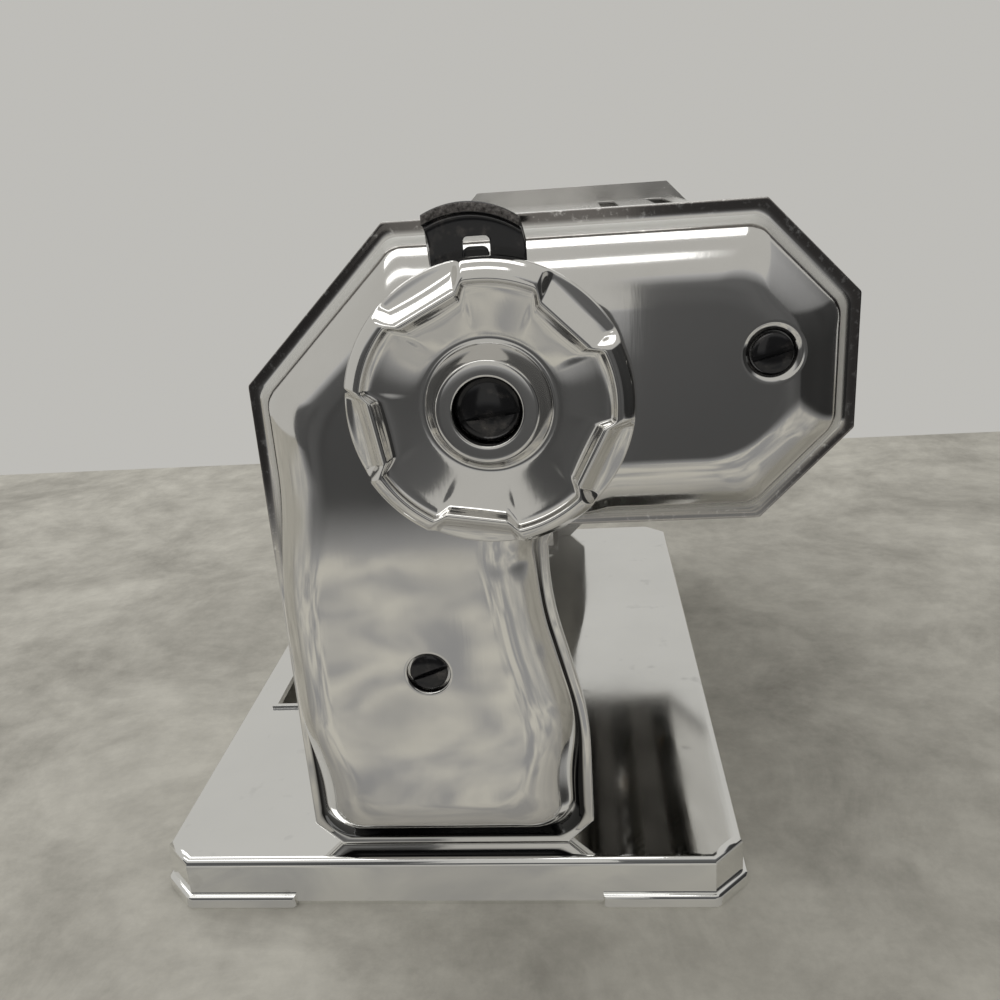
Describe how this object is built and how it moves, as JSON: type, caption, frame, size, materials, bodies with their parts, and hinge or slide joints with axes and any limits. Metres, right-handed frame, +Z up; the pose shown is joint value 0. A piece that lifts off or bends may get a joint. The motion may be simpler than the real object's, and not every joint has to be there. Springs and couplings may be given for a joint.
{
  "type": "hand cranked pasta machine",
  "caption": "Chromed table machine with smooth sheeting rollers set by a dial, wide and narrow cutters in an overhanging head, and a pull-out crank.",
  "frame": {"origin": "centre of the base's footprint, on the table", "axes": "+Z up, +Y along the rollers from the dial end to the crank end, +X the way the head overhangs"},
  "size_m": [0.1599, 0.3127, 0.1582],
  "materials": {
    "chrome_plate": "mirror chrome, lightly worn",
    "plated_sheet": "plated sheet steel, softly bright",
    "bright_steel": "turned and zinc-plated steel",
    "roller_nickel": "ground nickel plate",
    "burnished_steel": "burnished dark steel",
    "bronze": "oiled sintered bronze",
    "handle_wood": "varnished beech"
  },
  "bodies": {
    "frame": {"base_plate": "chrome_plate", "base_screws": "bright_steel", "base_nuts": "bright_steel", "dial_end_frame": "plated_sheet", "crank_end_frame": "plated_sheet", "frame_bushes": "bronze", "tie_rods": "bright_steel", "tie_rod_nuts": "bright_steel", "cover_posts": "bright_steel", "dial_cover_screws": "burnished_steel", "crank_cover_screws": "burnished_steel", "dial_end_cover": "chrome_plate", "crank_end_cover": "chrome_plate", "shaft_end_bush": "bronze", "wide_idler_comb": "bright_steel", "wide_drive_comb": "bright_steel", "narrow_idler_comb": "bright_steel", "narrow_drive_comb": "bright_steel", "index_plate": "burnished_steel", "index_rivets": "bright_steel", "top_guard": "plated_sheet", "front_guard": "plated_sheet", "bottom_guard": "plated_sheet", "back_guard": "plated_sheet", "hopper_back": "plated_sheet", "hopper_front": "plated_sheet", "fixed_scraper": "bright_steel", "movable_scraper": "bright_steel"},
    "fixed_roller_body": {"fixed_roller": "roller_nickel", "fixed_roller_pin": "bright_steel", "fixed_roller_gear": "bright_steel", "fixed_roller_ring": "bright_steel"},
    "crank_body": {"crank_shaft": "bright_steel", "crank_arm": "chrome_plate", "grip_pin": "bright_steel"},
    "grip_body": {"crank_grip": "handle_wood"},
    "adjuster_body": {"adjuster_shaft": "bright_steel", "dial_screw": "burnished_steel", "dial_spring": "bright_steel"},
    "dial_body": {"dial_knob": "chrome_plate"},
    "bush_body": {"movable_roller_bushes": "bronze"},
    "movable_roller_body": {"movable_roller": "roller_nickel", "movable_roller_gear": "bright_steel", "movable_roller_ring": "bright_steel"},
    "wide_drive_body": {"wide_cutter_drive": "bright_steel", "wide_cutter_drive_pin": "bright_steel", "wide_cutter_drive_gear": "bright_steel", "wide_cutter_drive_ring": "bright_steel"},
    "wide_idler_body": {"wide_cutter_idler": "bright_steel", "wide_cutter_idler_gear": "bright_steel", "wide_cutter_idler_ring": "bright_steel"},
    "narrow_drive_body": {"narrow_cutter_drive": "bright_steel", "narrow_cutter_drive_pin": "bright_steel", "narrow_cutter_drive_gear": "bright_steel", "narrow_cutter_drive_ring": "bright_steel"},
    "narrow_idler_body": {"narrow_cutter_idler": "bright_steel", "narrow_cutter_idler_gear": "bright_steel", "narrow_cutter_idler_ring": "bright_steel"}
  },
  "joints": [
    {"name": "crank_turn", "type": "hinge", "parent": "frame", "child": "fixed_roller_body", "pos_m": [-0.00706, 0, 0.11086], "axis": [0, 1, 0], "continuous": true},
    {"name": "crank_pull", "type": "slide", "parent": "fixed_roller_body", "child": "crank_body", "axis": [0, 1, 0], "range_m": [0, 0.02]},
    {"name": "grip_spin", "type": "hinge", "parent": "crank_body", "child": "grip_body", "pos_m": [-0.00706, 0.123, 0.02086], "axis": [0, 1, 0], "continuous": true},
    {"name": "dial_turn", "type": "hinge", "parent": "frame", "child": "adjuster_body", "pos_m": [0.0194, 0, 0.1232], "axis": [0, -1, 0], "range_deg": [0, 180]},
    {"name": "dial_pull", "type": "slide", "parent": "adjuster_body", "child": "dial_body", "axis": [0, -1, 0], "range_m": [0, 0.0016], "stiffness_N_per_m": 2000, "springref_m": -0.001, "deforming": ["dial_spring"]},
    {"name": "roller_shift", "type": "hinge", "parent": "adjuster_body", "child": "bush_body", "pos_m": [0.02031, 0, 0.12362], "axis": [0, -1, 0], "range_deg": [-180, 0]},
    {"name": "movable_roller_turn", "type": "hinge", "parent": "bush_body", "child": "movable_roller_body", "pos_m": [0.02031, 0, 0.12362], "axis": [0, 1, 0], "continuous": true},
    {"name": "wide_cutter_turn", "type": "hinge", "parent": "frame", "child": "wide_drive_body", "pos_m": [0.0558, 0, 0.1395], "axis": [0, 1, 0], "continuous": true},
    {"name": "wide_idler_turn", "type": "hinge", "parent": "frame", "child": "wide_idler_body", "pos_m": [0.0402, 0, 0.1395], "axis": [0, 1, 0], "continuous": true},
    {"name": "narrow_cutter_turn", "type": "hinge", "parent": "frame", "child": "narrow_drive_body", "pos_m": [0.0735, 0, 0.117], "axis": [0, 1, 0], "continuous": true},
    {"name": "narrow_idler_turn", "type": "hinge", "parent": "frame", "child": "narrow_idler_body", "pos_m": [0.0579, 0, 0.117], "axis": [0, 1, 0], "continuous": true}
  ],
  "couplings": [
    {"joint": "movable_roller_turn", "follows": "crank_turn", "ratio": -1},
    {"joint": "roller_shift", "follows": "dial_turn", "ratio": -1},
    {"joint": "wide_idler_turn", "follows": "wide_cutter_turn", "ratio": -1},
    {"joint": "narrow_idler_turn", "follows": "narrow_cutter_turn", "ratio": -1}
  ]
}
